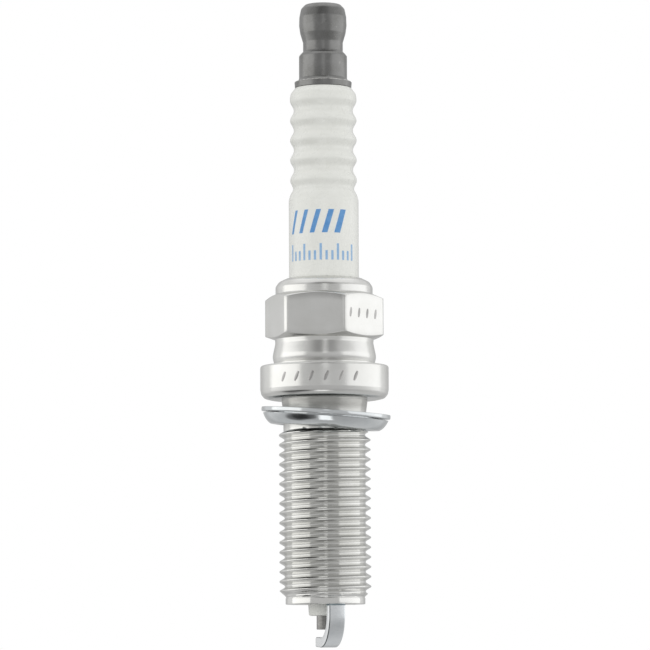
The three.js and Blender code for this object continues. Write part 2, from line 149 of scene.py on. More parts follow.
STRAP_TURN = math.radians(-73)
STRAP_WIDTH = 2.15
STRAP_THICKNESS = 1.25
STRAP_OUTER = 5.05
STRAP_BEND = 4.0
STRAP_TIP = -0.9
STRAP_RISE = math.radians(3)

GASKET_RADIUS = 8.3
GASKET_FOOT_RADIUS = 7.05
GASKET_HOLE_RADIUS = 5.8
GASKET_HEIGHT = 2.1
GASKET_SHEET = 0.55
GASKET_SLIT = 0.1
GASKET_DROP = 0.02
GASKET_OFFSET = 0.25
JOINT = frame["joints"][0]
GASKET_TILT = math.radians(4.69)

SAME_POINT = 0.0005  # mm; points closer than this are one


# ---- mesh making ----


def make_object(name, vertices, faces, sharp_degrees=32):
    """A mesh object in metres from points in mm, smooth except along edges sharper than the angle."""
    mesh = bpy.data.meshes.new(name)
    points = np.asarray(vertices, float) * MM
    mesh.from_pydata(points.tolist(), [], faces)
    merged = bmesh.new()
    merged.from_mesh(mesh)
    bmesh.ops.remove_doubles(merged, verts=merged.verts, dist=SAME_POINT * MM)
    merged.to_mesh(mesh)
    merged.free()
    mesh.validate()
    mesh.update()
    mesh.shade_smooth()
    mesh.set_sharp_from_angle(angle=math.radians(sharp_degrees))
    obj = bpy.data.objects.new(name, mesh)
    bpy.context.scene.collection.objects.link(obj)
    return obj


def rounded(outline, steps=4):
    """Points (radius, height) of an outline whose corners (radius, height, fillet) are rounded."""
    points = []
    count = len(outline)
    for i, corner in enumerate(outline):
        here = Vector(corner[:2])
        fillet = corner[2] if len(corner) > 2 else 0
        if not fillet or i in (0, count - 1):
            points.append(here)
            continue
        before = Vector(outline[i - 1][:2]) - here
        after = Vector(outline[i + 1][:2]) - here
        half = before.angle(after) / 2
        back = min(fillet / math.tan(half), before.length * 0.49, after.length * 0.49)
        first = here + before.normalized() * back
        last = here + after.normalized() * back
        for k in range(steps + 1):
            t = k / steps
            points.append(first * (1 - t) ** 2 + here * 2 * t * (1 - t) + last * t**2)
    return [tuple(p) for p in points]


def arc(centre, radius, start, end, steps):
    """Points on an arc of an outline; angles in degrees, 0 outwards and 90 up."""
    angles = np.radians(np.linspace(start, end, steps + 1))
    return [(centre[0] + radius * math.cos(a), centre[1] + radius * math.sin(a)) for a in angles]


def subdivided(points, longest):
    """The same outline with long straight stretches cut into shorter ones."""
    result = [points[0]]
    for a, b in zip(points, points[1:]):
        pieces = max(1, math.ceil(math.dist(a, b) / longest))
        for k in range(1, pieces + 1):
            t = k / pieces
            result.append((a[0] + (b[0] - a[0]) * t, a[1] + (b[1] - a[1]) * t))
    return result


class Skin:
    """Rings of points that are joined one to the next into a closed surface round the axis."""

    def __init__(self, angles):
        self.angles = np.asarray(angles)
        self.cos = np.cos(self.angles)
        self.sin = np.sin(self.angles)
        self.points = []
        self.faces = []

    def ring(self, radius, height):
        """Adds one ring; radius and height are numbers or one value per column. Returns its indices."""
        count = len(self.angles)
        radii = np.broadcast_to(radius, count)
        heights = np.broadcast_to(height, count)
        start = len(self.points)
        self.points.extend(zip(radii * self.cos, radii * self.sin, heights))
        return list(range(start, start + count))

    def join(self, low, high):
        """Quads between two rings, facing out when the outline runs anticlockwise."""
        count = len(low)
        for k in range(count):
            n = (k + 1) % count
            self.faces.append((low[k], low[n], high[n], high[k]))

    def outline(self, points):
        """Rings for an outline of (radius, height) points; one on the axis closes the end with a fan."""
        rings = []
        for radius, height in points:
            if radius < 1e-9:
                self.points.append((0, 0, height))
                rings.append([len(self.points) - 1])
            else:
                rings.append(self.ring(radius, height))
        pairs = list(zip(rings, rings[1:]))
        if len(rings[0]) > 1:
            pairs.append((rings[-1], rings[0]))
        for low, high in pairs:
            if len(low) == 1:
                self.fan(low[0], high, False)
            elif len(high) == 1:
                self.fan(high[0], low, True)
            else:
                self.join(low, high)

    def fan(self, centre, ring, upward):
        count = len(ring)
        for k in range(count):
            n = (k + 1) % count
            if upward:
                self.faces.append((ring[k], ring[n], centre))
            else:
                self.faces.append((ring[n], ring[k], centre))


def turned(name, points, columns, sharp_degrees=32):
    skin = Skin(np.arange(columns) * (2 * math.pi / columns))
    skin.outline(points)
    return make_object(name, skin.points, skin.faces, sharp_degrees)


# ---- materials ----


class Nodes:
    """A material whose nodes are added and linked in one call each."""

    def __init__(self, name):
        self.material = bpy.data.materials.new(name)
        self.material.use_nodes = True
        self.tree = self.material.node_tree
        self.shader = self.tree.nodes["Principled BSDF"]
        self.place = self.add("ShaderNodeTexCoord").outputs["Object"]

    def add(self, kind, settings=None, **inputs):
        node = self.tree.nodes.new(kind)
        for key, value in (settings or {}).items():
            setattr(node, key, value)
        for key, value in inputs.items():
            self.feed(node.inputs[key.replace("_", " ")], value)
        return node

    def feed(self, socket, value):
        if isinstance(value, bpy.types.NodeSocket):
            self.tree.links.new(value, socket)
        else:
            socket.default_value = value

    def set(self, **values):
        for key, value in values.items():
            self.feed(self.shader.inputs[key.replace("_", " ")], value)

    def math(self, operation, first, second=0.0, clamp=False):
        node = self.tree.nodes.new("ShaderNodeMath")
        node.operation = operation
        node.use_clamp = clamp
        self.feed(node.inputs[0], first)
        self.feed(node.inputs[1], second)
        return node.outputs[0]

    def weighted(self, first, first_share, second, second_share):
        """The sum of two values, each times its share."""
        parts = self.math("MULTIPLY", first, first_share), self.math("MULTIPLY", second, second_share)
        return self.math("ADD", *parts)

    def drawn_grain(self):
        """Grain drawn out across the axis, and the same grain mixed with clouds."""
        grained = self.noise(1.5, detail=6, where=self.stretched((1, 1, 6)))
        return grained, self.weighted(self.noise(0.8, detail=4), 0.6, grained, 0.4)

    def stretched(self, scale):
        """Object coordinates in mm, scaled by a factor along each axis."""
        node = self.add("ShaderNodeMapping", Vector=self.place)
        node.inputs["Scale"].default_value = [s / MM for s in scale]
        return node.outputs["Vector"]

    def noise(self, scale, detail=3.0, roughness=0.55, where=None):
        """Noise from 0 to 1 with that many waves per mm."""
        node = self.add("ShaderNodeTexNoise", Detail=detail, Roughness=roughness)
        self.feed(node.inputs["Vector"], where or self.stretched((1, 1, 1)))
        node.inputs["Scale"].default_value = scale
        return node.outputs["Fac"]

    def polar(self, around, along, outward=0.0):
        """Coordinates round the axis: waves per radian, per mm of height and per mm of radius."""
        parts = self.add("ShaderNodeSeparateXYZ", Vector=self.stretched((1, 1, 1))).outputs
        angle = self.math("ARCTAN2", parts["Y"], parts["X"])
        squares = self.math("POWER", parts["X"], 2.0), self.math("POWER", parts["Y"], 2.0)
        radius = self.math("SQRT", self.math("ADD", *squares))
        joined = self.add("ShaderNodeCombineXYZ")
        self.feed(joined.inputs["X"], self.math("MULTIPLY", self.math("COSINE", angle), around))
        self.feed(joined.inputs["Y"], self.math("MULTIPLY", self.math("SINE", angle), around))
        height = self.math("MULTIPLY", parts["Z"], along)
        self.feed(joined.inputs["Z"], self.math("ADD", height, self.math("MULTIPLY", radius, outward)))
        return joined.outputs["Vector"]

    def height(self, low, high):
        """0 at the lower height and 1 at the upper one, in mm."""
        parts = self.add("ShaderNodeSeparateXYZ", Vector=self.stretched((1, 1, 1)))
        node = self.add("ShaderNodeMapRange", Value=parts.outputs["Z"])
        node.inputs["From Min"].default_value = low
        node.inputs["From Max"].default_value = high
        return node.outputs["Result"]

    def mixed(self, share, first, second):
        """The first colour, with that share of a fixed second one."""
        node = self.add("ShaderNodeMix", {"data_type": "RGBA"})
        self.feed(node.inputs["Factor"], share)
        self.feed(node.inputs[6], first)
        node.inputs[7].default_value = (*second, 1)
        return node.outputs[2]

    def ramp(self, value, stops):
        """A colour ramp; stops are (position, grey or colour)."""
        node = self.add("ShaderNodeValToRGB", Fac=value)
        elements = node.color_ramp.elements
        while len(elements) < len(stops):
            elements.new(0.5)
        for element, (position, colour) in zip(elements, stops):
            element.position = position
            element.color = (*colour, 1) if isinstance(colour, tuple) else (colour, colour, colour, 1)
        return node.outputs["Color"]

    def range(self, value, low, high):
        """Maps 0..1 onto low..high."""
        node = self.add("ShaderNodeMapRange", Value=value)
        node.inputs["To Min"].default_value = low
        node.inputs["To Max"].default_value = high
        return node.outputs["Result"]

    def bump(self, height, strength, distance, normal=None):
        """Bump whose full height is the distance, in mm."""
        node = self.add("ShaderNodeBump", Height=height, Strength=strength, Distance=distance * MM)
        if normal:
            self.feed(node.inputs["Normal"], normal)
        return node.outputs["Normal"]


def srgb(red, green, blue):
    """Linear colour from 0..255 screen values."""
    result = []
    for value in (red, green, blue):
        share = value / 255
        result.append(share / 12.92 if share <= 0.04045 else ((share + 0.055) / 1.055) ** 2.4)
    return tuple(result)


def plated_steel(name, light, dark, roughness, lathe_marks, spots, rolled_below=None):
    """Bright plating on turned steel: faint lathe marks, cloudy roughness and fine pits.

    Below the given height, in mm, the surface is rolled, which leaves it smoother. The neck between
    there and the seat is darkened by painted shade, most of all in the corner under the flange.
    """
    m = Nodes(name)
    clouds = m.noise(0.35, detail=4)
    base = m.ramp(clouds, [(0.3, dark), (0.7, light)])
    fine = m.noise(6.0, detail=5, where=m.polar(3.0, 9.0, 9.0))
    rough = m.range(m.weighted(clouds, 0.5, fine, 0.5), roughness * 0.7, roughness * 1.4)
    if rolled_below is not None:
        turned_part = m.height(rolled_below - 0.3, rolled_below + 0.3)
        rough = m.math("MULTIPLY", rough, m.math("ADD", m.math("MULTIPLY", turned_part, 0.5), 0.5))
        # Painted shade on the neck, darkest just under the flange and broken into streaks, mixed into the
        # colour.
        neck = m.height(rolled_below, 0.0)
        stops = [(0.0, 0.0), (0.1, 0.35), (0.6, 0.45), (0.76, 0.95), (0.98, 0.95), (1.0, 0.0)]
        painted_neck_shade = m.ramp(neck, stops)
        streaks = m.range(m.noise(0.6, detail=4, where=m.polar(2.5, 2.0)), 0.55, 1.25)
        base = m.mixed(m.math("MULTIPLY", painted_neck_shade, streaks, clamp=True), base, srgb(160, 160, 156))
    m.set(Metallic=1.0, Base_Color=base, Roughness=rough)
    marks = m.bump(fine, lathe_marks, 0.01)
    pits = m.ramp(m.noise(3.2, detail=6, roughness=0.7), [(0.62, 1.0), (0.7, 0.0)])
    m.set(Normal=m.bump(pits, spots, 0.01, marks))
    return m.material


def oxidised_steel():
    """Dark phosphated steel of the terminal, rubbed bright in nicks; a patchy painted highlight runs round
    its flange's top edge.
    """
    m = Nodes("dark_steel_with_painted_highlight")
    clouds = m.noise(0.5, detail=5, roughness=0.6)
    tones = [(0.3, srgb(119, 119, 117)), (0.55, srgb(131, 131, 130)), (0.8, srgb(141, 141, 140))]
    base = m.ramp(clouds, tones)
    nicks = m.ramp(m.noise(1.5, detail=8, roughness=0.75), [(0.62, 0.0), (0.68, 1.0)])
    # Patchy painted highlight in a thin band round the flange's top edge, added to the real bright nicks.
    flange_top = INSULATOR_TOP + TERMINAL_FLANGE_HEIGHT
    flange_edge = m.height(flange_top - 0.1, flange_top + 0.1)
    painted_edge_highlight = m.ramp(flange_edge, [(0.0, 0.0), (0.3, 1.0), (0.7, 1.0), (1.0, 0.0)])
    patchy = m.ramp(m.noise(0.9, detail=5, roughness=0.7), [(0.42, 0.0), (0.52, 0.9)])
    edge = m.math("MULTIPLY", painted_edge_highlight, patchy)
    highlight_and_nicks = m.math("ADD", edge, m.math("MULTIPLY", nicks, 0.35), clamp=True)
    m.set(Metallic=1.0, Base_Color=m.mixed(highlight_and_nicks, base, srgb(235, 234, 230)))
    fine = m.noise(9.0, detail=4, where=m.polar(4.0, 14.0, 10.0))
    m.set(Roughness=m.range(m.weighted(clouds, 0.5, fine, 0.5), 0.2, 0.36))
    m.set(Normal=m.bump(m.noise(1.6, detail=6, roughness=0.65), 0.2, 0.02, m.bump(fine, 0.15, 0.01)))
    return m.material


def glazed_alumina():
    """White ceramic under a clear glaze, faintly uneven."""
    m = Nodes("glazed_alumina_finish")
    clouds = m.noise(0.25, detail=3)
    m.set(Base_Color=m.ramp(clouds, [(0.35, srgb(231, 232, 226)), (0.7, srgb(235, 236, 231))]))
    m.set(Roughness=m.range(m.noise(1.2, detail=3), 0.22, 0.34), IOR=1.6)
    m.set(Coat_Weight=0.25, Coat_Roughness=0.08)
    m.set(Normal=m.bump(m.noise(0.35, detail=2, where=m.polar(1.2, 0.8)), 0.2, 0.03))
    return m.material


def ink():
    """Blue ink, thinner and paler in the lower row."""
    m = Nodes("printed_ink")
    worn = m.noise(1.6, detail=5)
    thin = m.weighted(worn, 0.55, m.height(21.0, 20.0), 0.45)
    tones = [(0.15, srgb(76, 138, 200)), (0.45, srgb(112, 165, 216)), (0.9, srgb(165, 196, 226))]
    m.set(Base_Color=m.ramp(thin, tones))
    m.set(Roughness=m.range(worn, 0.3, 0.5))
    return m.material


def satin_metal(name, light, dark, roughness):
    """Drawn or pressed metal with a grain along one direction."""
    m = Nodes(name)
    grained, mix = m.drawn_grain()
    m.set(Metallic=1.0, Base_Color=m.ramp(mix, [(0.35, dark), (0.65, light)]))
    m.set(Roughness=m.range(mix, roughness * 0.7, roughness * 1.35))
    m.set(Normal=m.bump(grained, 0.3, 0.01))
    return m.material


def strap_metal():
    """Drawn nickel alloy, with a painted highlight over its sheared side and a painted dark line of shade
    where that side meets the outer face.
    """
    m = Nodes("nickel_alloy_with_painted_light")
    grained, mix = m.drawn_grain()
    base = m.ramp(mix, [(0.35, srgb(219, 223, 226)), (0.65, srgb(231, 234, 236))])
    across = m.add("ShaderNodeVectorMath", {"operation": "DOT_PRODUCT"})
    m.feed(across.inputs[0], m.stretched((1, 1, 1)))
    across.inputs[1].default_value = (-math.sin(STRAP_TURN), math.cos(STRAP_TURN), 0)
    # Painted highlight: the sheared side face is given a near-white colour.
    side = m.math("LESS_THAN", across.outputs["Value"], 0.04 - STRAP_WIDTH / 2)
    # Painted dark line of shade along the edge where the sheared side meets the outer face.
    line = m.math("COMPARE", across.outputs["Value"], 0.1 - STRAP_WIDTH / 2)
    line.node.inputs[2].default_value = 0.06
    base = m.mixed(side, base, srgb(246, 248, 249))
    m.set(Metallic=1.0, Base_Color=m.mixed(m.math("MULTIPLY", line, 0.85), base, srgb(72, 77, 79)))
    m.set(Roughness=m.range(mix, 0.17, 0.32))
    m.set(Normal=m.bump(grained, 0.3, 0.01))
    return m.material


def dry_compound(name, light, dark, grain, roughness):
    """Sintered or packed powder: glass seal, resistor, talc."""
    m = Nodes(name)
    specks = m.noise(grain, detail=6, roughness=0.7)
    m.set(Base_Color=m.ramp(specks, [(0.35, dark), (0.6, light)]))
    m.set(Roughness=m.range(specks, roughness * 0.85, min(1.0, roughness * 1.1)))
    m.set(Normal=m.bump(specks, 0.4, 0.04))
    return m.material


FINISHES = {
    "dark_steel": oxidised_steel(),
    "glazed_alumina": glazed_alumina(),
    # The nickel plate's last argument is where the rolled thread ends; the neck above it takes painted
    # shade.
    "nickel_plate": plated_steel(
        "nickel_plate_with_painted_shade", srgb(223, 223, 221), srgb(215, 215, 212), 0.22, 0.1, 0.15, THREAD_TOP
    ),
    "bright_zinc": plated_steel(
        "bright_zinc_finish", srgb(216, 219, 220), srgb(203, 207, 209), 0.13, 0.05, 0.1
    ),
    "electrode_alloy": satin_metal(
        "electrode_alloy_finish", srgb(164, 163, 161), srgb(122, 121, 119), 0.26
    ),
    "nickel_alloy": strap_metal(),
    "copper": satin_metal("copper_finish", srgb(214, 150, 120), srgb(178, 108, 80), 0.35),
    "soft_steel": satin_metal("soft_steel_finish", srgb(186, 185, 182), srgb(142, 141, 138), 0.4),
    "copper_glass": dry_compound("copper_glass_finish", srgb(122, 84, 66), srgb(58, 44, 38), 5.0, 0.55),
    "carbon_glass": dry_compound("carbon_glass_finish", srgb(66, 66, 70), srgb(26, 26, 30), 4.0, 0.75),
    "talc": dry_compound("talc_finish", srgb(232, 229, 219), srgb(206, 202, 190), 7.0, 0.95),
}


def dress(obj, slot):
    obj.data.materials.clear()
    obj.data.materials.append(FINISHES[slot])


def fit(obj, body, slot, *nodes):
    """Gives a piece its finish, its body and the CAD nodes it stands for."""
    dress(obj, slot)
    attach(obj, body)
    if nodes:
        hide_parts(*nodes)
    return obj


# ---- shell ----


def shell_columns():
    """Angles of the shell's columns, drawn together at the hexagon's corners."""
    near = [0.0, 0.55, 1.1, 1.65, 2.2]
    far = list(np.linspace(2.2, 30.0, 15))[1:]
    half = near + far
    sector = [-a for a in reversed(half[1:-1])] + half
    back = HEX_TURN + math.radians(120)  # the first column, where the thread's seam runs, is at the back
    return np.array([back + math.radians(60 * i + a) for i in range(6) for a in sector])


def hexagon_radius(angles, across_flats, corner):
    """Distance from the axis to a hexagon with rounded corners, at each angle."""
    flat = across_flats / 2
    away = (angles - HEX_TURN + math.pi / 6) % (math.pi / 3) - math.pi / 6
    to_flat = flat / np.cos(math.pi / 6 - np.abs(away))
    centre = (flat - corner) / math.cos(math.pi / 6)
    tangent = math.atan2(corner * math.sin(math.pi / 6), centre + corner * math.cos(math.pi / 6))
    inside = np.clip(corner**2 - (centre * np.sin(away)) ** 2, 0, None)
    to_round = centre * np.cos(away) + np.sqrt(inside)
    return np.where(np.abs(away) < tangent, to_round, to_flat)


def thread_radius(share):
    """Radius of the thread's rounded V profile at a share of the pitch, 0 at the middle of a crest."""
    away = np.abs((share + 0.5) % 1 - 0.5) * PITCH  # distance along the axis from the crest
    flank = CREST_RADIUS - (away - PITCH / 16) / math.tan(math.radians(30))
    crest_round = 0.10
    root_round = 0.17
    top = CREST_RADIUS - 0.02
    blunt = 0.5 * (top + flank - np.sqrt((top - flank) ** 2 + (crest_round * 0.5) ** 2))
    return 0.5 * (blunt + ROOT_RADIUS + np.sqrt((blunt - ROOT_RADIUS) ** 2 + (root_round * 0.5) ** 2))


def thread_limits(height):
    """Smallest and largest radius at a height: a lead-in chamfer below and a run-out above."""
    pilot = PILOT_RADIUS - END_ROUND
    neck = NECK_WAIST
    lead_in = pilot + np.clip(height - THREAD_BOTTOM, 0, None) * 1.1
    run_out = neck + np.clip(THREAD_TOP - height, 0, None) * 1.6
    from_pilot = pilot - np.clip(height - THREAD_BOTTOM, 0, None) * 1.5
    from_neck = neck - np.clip(THREAD_TOP - height, 0, None) * 0.35
    return np.maximum(from_pilot, from_neck), np.minimum(lead_in, run_out)


def add_thread(skin):
    """The helical skin of the thread. Returns the plain rings that bound it below and above."""
    per_pitch = 16
    columns = len(skin.angles)
    turn = (skin.angles - skin.angles[0]) / (2 * math.pi)
    phase = (math.pi - skin.angles[0]) / (2 * math.pi)
    low_end, high_end = THREAD_BOTTOM - 0.05, THREAD_TOP + 0.05
    first = low_end - PITCH
    turns = math.ceil((high_end - first) / PITCH)
    rows = []
    for row in range(turns * per_pitch + 1):
        heights = first + PITCH * (row / per_pitch + turn)
        share = (heights - THREAD_CREST_AT) / PITCH - turn + phase
        smallest, largest = thread_limits(heights)
        radii = np.maximum(np.minimum(thread_radius(share), largest), smallest)
        rows.append(skin.ring(radii, np.clip(heights, low_end, high_end)))
    # Each row, after one turn, meets the row one pitch higher.
    for low, high in zip(rows, rows[1:]):
        for k in range(columns - 1):
            skin.faces.append((low[k], low[k + 1], high[k + 1], high[k]))
    for a, b, c, d in zip(rows, rows[1:], rows[per_pitch:], rows[per_pitch + 1 :]):
        skin.faces.append((a[-1], c[0], d[0], b[-1]))
    for one, other in zip(rows[:per_pitch], rows[1 : per_pitch + 1]):
        skin.faces.append((rows[0][-1], other[0], one[0]))
    for one, other in zip(rows[-per_pitch - 1 :], rows[-per_pitch:]):
        skin.faces.append((rows[-1][0], one[-1], other[-1]))
    return rows[0], rows[-1]


def shell():
    skin = Skin(shell_columns())
    below, above = add_thread(skin)
    pilot = rounded(
        [
            (PILOT_RADIUS - 0.3, SHELL_END, 0),
            (PILOT_RADIUS, SHELL_END, 0.1),
            (PILOT_RADIUS, THREAD_BOTTOM - 0.2, 0.05),
            (PILOT_RADIUS - END_ROUND, THREAD_BOTTOM - 0.12, 0),
        ]
    )
    rings = [skin.ring(r, z) for r, z in pilot] + [below]
    for low, high in zip(rings, rings[1:]):
        skin.join(low, high)
    bottom_edge = rings[0]

    body = rounded(
        [
            (NECK_WAIST, THREAD_TOP + 0.3, 0),
            (NECK_RADIUS - 0.1, -1.7, 0.5),
            (NECK_RADIUS + 0.1, -0.2, 0.15),
            (NECK_RADIUS + 0.1, 0.0, 0.04),
            (RIM_RADIUS - 1.15, 0.0, 0.3),
            (RIM_RADIUS - 0.5, 0.16, 0.5),
            (RIM_RADIUS - 0.12, 0.62, 0.7),
            (RIM_RADIUS, 1.25, 0.7),
            (RIM_RADIUS, FLANGE_TOP - 0.04, 0.35),
            (6.44, FLANGE_TOP - 0.04, 0.05),
            (6.46, FLANGE_TOP + 0.25, 0.15),
            (6.68, FLANGE_TOP + 1.05, 2.6),
            (6.3, HEX_BOTTOM - 0.5, 0.9),
            (GROOVE_RADIUS, HEX_BOTTOM - 0.04),
        ],
        steps=8,
    )
    rings = [above] + [skin.ring(r, z) for r, z in subdivided(body, 0.8)]

    angles = skin.angles
    hexagon = hexagon_radius(angles, HEX_ACROSS_FLATS, HEX_CORNER)
    low_slope = 0.36
    high_slope = 0.44
    low_edge = HEX_BOTTOM + (hexagon - GROOVE_RADIUS) * low_slope
    high_edge = HEX_TOP - (hexagon - CRIMP_RADIUS) * high_slope
    rings.append(skin.ring(GROOVE_RADIUS + 0.06, HEX_BOTTOM + 0.01))
    bevel = 0.06
    for share in (0.5, 1.0):
        radius = GROOVE_RADIUS + (hexagon - bevel - GROOVE_RADIUS) * share
        rings.append(skin.ring(radius, HEX_BOTTOM + (radius - GROOVE_RADIUS) * low_slope))
    rings.append(skin.ring(hexagon - bevel * 0.3, low_edge + bevel * 0.25))
    rings.append(skin.ring(hexagon, low_edge + bevel))
    for share in np.linspace(0, 1, 6)[1:-1]:
        rings.append(skin.ring(hexagon, low_edge + (high_edge - low_edge) * share))
    rings.append(skin.ring(hexagon, high_edge - bevel))
    rings.append(skin.ring(hexagon - bevel * 0.3, high_edge - bevel * 0.25))
    for share in (1.0, 0.5):
        radius = CRIMP_RADIUS + (hexagon - bevel - CRIMP_RADIUS) * share
        rings.append(skin.ring(radius, HEX_TOP - (radius - CRIMP_RADIUS) * high_slope))

    crimp = [(CRIMP_RADIUS + 0.04, HEX_TOP - 0.01), (CRIMP_RADIUS, HEX_TOP + 0.05)]
    crimp += rounded(
        [
            (CRIMP_RADIUS, HEX_TOP + 0.08),
            (CRIMP_RADIUS, CRIMP_TOP - 1.1, 0.7),
            (CRIMP_RADIUS - 0.4, CRIMP_TOP - 0.48, 0.9),
            (LIP_RADIUS + 0.35, CRIMP_TOP - 0.03, 0.4),
            (LIP_RADIUS, CRIMP_TOP - 0.02, 0.08),
            (LIP_RADIUS, CRIMP_TOP - 0.3),
        ],
        steps=7,
    )
    crimp += [(LIP_RADIUS, CRIMP_TOP - 0.65), (LIP_RADIUS + 0.4, CRIMP_TOP - 0.85)]
    crimp += [(BARREL_BORE_RADIUS, CRIMP_TOP - 1.5), (BARREL_BORE_RADIUS, 2.4)]
    crimp += [(BORE_RADIUS, 0.3), (BORE_RADIUS, LEDGE_TOP), (LEDGE_RADIUS, LEDGE_TOP - 0.6)]
    crimp += [(LEDGE_RADIUS, LEDGE_TOP - 2.3), (BORE_RADIUS, LEDGE_TOP - 3)]
    crimp += [(BORE_RADIUS, SHELL_END + 0.15), (BORE_RADIUS + 0.15, SHELL_END)]
    rings += [skin.ring(r, z) for r, z in crimp]
    rings.append(bottom_edge)
    for low, high in zip(rings, rings[1:]):
        skin.join(low, high)
    return make_object("shell_body", skin.points, skin.faces, 40)


def stamped_marks():
    """Plain slanted strokes round the front of the flange and short ticks on one flat of the hexagon."""
    vertices, faces = [], []

    def stroke(place, start, end, width, height):
        """A low ridge along a curved path; place turns (across, up, out) into a point."""
        steps = 8
        along = Vector(end) - Vector(start)
        side = Vector((-along.y, along.x)).normalized() * width / 2
        base = len(vertices)
        for k in range(steps + 1):
            t = k / steps
            middle = Vector(start) + along * t
            taper = math.sin(math.pi * min(max(t, 0.06), 0.94)) ** 0.3
            row = [(-1.0, -0.03), (-0.45, 0.75), (0.0, 1.0), (0.45, 0.75), (1.0, -0.03), (0.0, -0.6)]
            for across, out in row:
                point = middle + side * across * taper
                vertices.append(place(point.x, point.y, height * out * (taper if out > 0 else 1)))
        count = 6
        for k in range(steps):
            for j in range(count):
                n = (j + 1) % count
                a, b = base + k * count, base + (k + 1) * count
                faces.append((a + j, b + j, b + n, a + n))
        faces.append(tuple(base + j for j in range(count)))
        faces.append(tuple(base + steps * count + j for j in reversed(range(count))))

    def on_flange(across, up, out):
        angle = -math.pi / 2 + across / RIM_RADIUS
        return ((RIM_RADIUS + out) * math.cos(angle), (RIM_RADIUS + out) * math.sin(angle), up)

    flat = HEX_TURN - math.pi / 6

    def on_flat(across, up, out):
        distance = HEX_ACROSS_FLATS / 2 + out
        x = distance * math.cos(flat) - across * math.sin(flat)
        y = distance * math.sin(flat) + across * math.cos(flat)
        return (x, y, up)

    # (surface, count, first centre, spacing, half the lean, bottom, top, width, height)
    rows = (
        (on_flange, 6, -5.6, 1.95, 0.26, 1.9, 3.1, 0.42, 0.042),
        (on_flat, 4, -2.85, 1.65, 0.1, 10.1, 11.3, 0.45, 0.035),
    )
    for surface, number, first, spacing, lean, bottom, top, width, height in rows:
        for k in range(number):
            centre = first + spacing * k
            stroke(surface, (centre - lean, bottom), (centre + lean, top), width, height)
    return make_object("stamped_marks", vertices, faces, 50)


# ---- insulator ----


def rib_profile():
    """The ribbed part from the smooth head up: rounded peaks and open valleys."""
    points = []
    steps = 16
    bottom = FIRST_RIB - RIB_PITCH / 2
    for i in range(int((RIB_COUNT - 0.5) * steps) + 1):
        wave = (1 - math.cos(2 * math.pi * i / steps)) / 2
        first = max(0.0, 1 - i / (steps / 2))  # the lowest valley is shallower
        radius = VALLEY_RADIUS + (RIB_RADIUS - VALLEY_RADIUS) * wave**1.15 + 0.12 * first
        points.append((radius, bottom + RIB_PITCH * i / steps))
    return points


def insulator():
    ribs = rib_profile()
    top_rib = ribs[-1][1]
    points = rounded(
        [
            (LOWER_BORE_RADIUS, NOSE_TIP),
            (2.12, NOSE_TIP, 0.28),
            (3.1, LEDGE_TOP - 1.6, 0),
            (LEDGE_RADIUS - 0.1, LEDGE_TOP - 0.3, 0.1),
            (BORE_RADIUS - 0.05, LEDGE_TOP + 0.4, 0.1),
            (BORE_RADIUS - 0.05, 0.35, 0.2),
            (BARREL_BORE_RADIUS - 0.05, 2.45, 0.3),
            (BARREL_BORE_RADIUS - 0.05, 10.3, 0.2),
            (HEAD_RADIUS, 11.1, 0.15),
            (HEAD_RADIUS, HEAD_TOP - 0.2, 0.9),
            (HEAD_RADIUS - 0.2, HEAD_TOP + 0.5, 0.6),
            ribs[0],
        ],
        steps=6,
    )
    points += ribs[1:]
    points += rounded(
        [
            ribs[-1],
            (RIB_RADIUS, top_rib + 0.35, 0.25),
            (RIB_RADIUS - 0.1, INSULATOR_TOP - 0.75, 0.3),
            (3.62, INSULATOR_TOP, 0.12),
            (UPPER_BORE_RADIUS, INSULATOR_TOP),
        ],
        steps=5,
    )[1:]
    points += [(UPPER_BORE_RADIUS, BORE_STEP + 0.7), (LOWER_BORE_RADIUS, BORE_STEP)]
    return turned("insulator_body", subdivided(points, 1.5), 160)


def printed_marks():
    """Two rows of plain printed bars at the front and back of the smooth part, slightly raised like ink."""
    vertices, faces = [], []
    low, high = HEAD_RADIUS - 0.02, HEAD_RADIUS + 0.012

    def patch(centre, middle, width, height, lean=0.0):
        """One curved tile; centre is its angle, the rest in mm."""
        columns = max(2, math.ceil(width / 0.12))
        rows = 8 if lean else 1
        base = len(vertices)
        for radius in (low, high):
            for r in range(rows + 1):
                v = r / rows - 0.5
                for c in range(columns + 1):
                    across = (c / columns - 0.5) * width + v * lean
                    angle = centre + across / HEAD_RADIUS
                    flat = radius * math.cos(angle), radius * math.sin(angle)
                    vertices.append((*flat, middle + v * height))
        n = columns + 1
        inner, outer = base, base + (rows + 1) * n
        for r in range(rows):
            for c in range(columns):
                a, b = r * n + c, (r + 1) * n + c
                faces.append((outer + a, outer + a + 1, outer + b + 1, outer + b))
                faces.append((inner + a + 1, inner + a, inner + b, inner + b + 1))
            left, right = r * n, r * n + columns
            faces.append((inner + left, outer + left, outer + left + n, inner + left + n))
            faces.append((outer + right, inner + right, inner + right + n, outer + right + n))
        for c in range(columns):
            top = rows * n + c
            faces.append((inner + c, inner + c + 1, outer + c + 1, outer + c))
            faces.append((outer + top, outer + top + 1, inner + top + 1, inner + top))

    front = -math.pi / 2
    for turn in (0, math.pi):
        # Upper row: bold slanted bars that grow wider from left to right.
        for k in range(5):
            patch(front + turn + (-4.4 + 1.65 * k) / HEAD_RADIUS, 22.6, 0.45 + 0.09 * k, 3.0, 0.9)
        # Lower row: a plain scale, every third tick taller.
        for k in range(13):
            tall = k % 3 == 0
            height = 2.1 if tall else 1.2
            patch(front + turn + (-4.9 + 0.75 * k) / HEAD_RADIUS, 17.6 + height / 2, 0.3, height)
    return make_object("printed_marks", vertices, faces)


# ---- terminal and electrodes ----


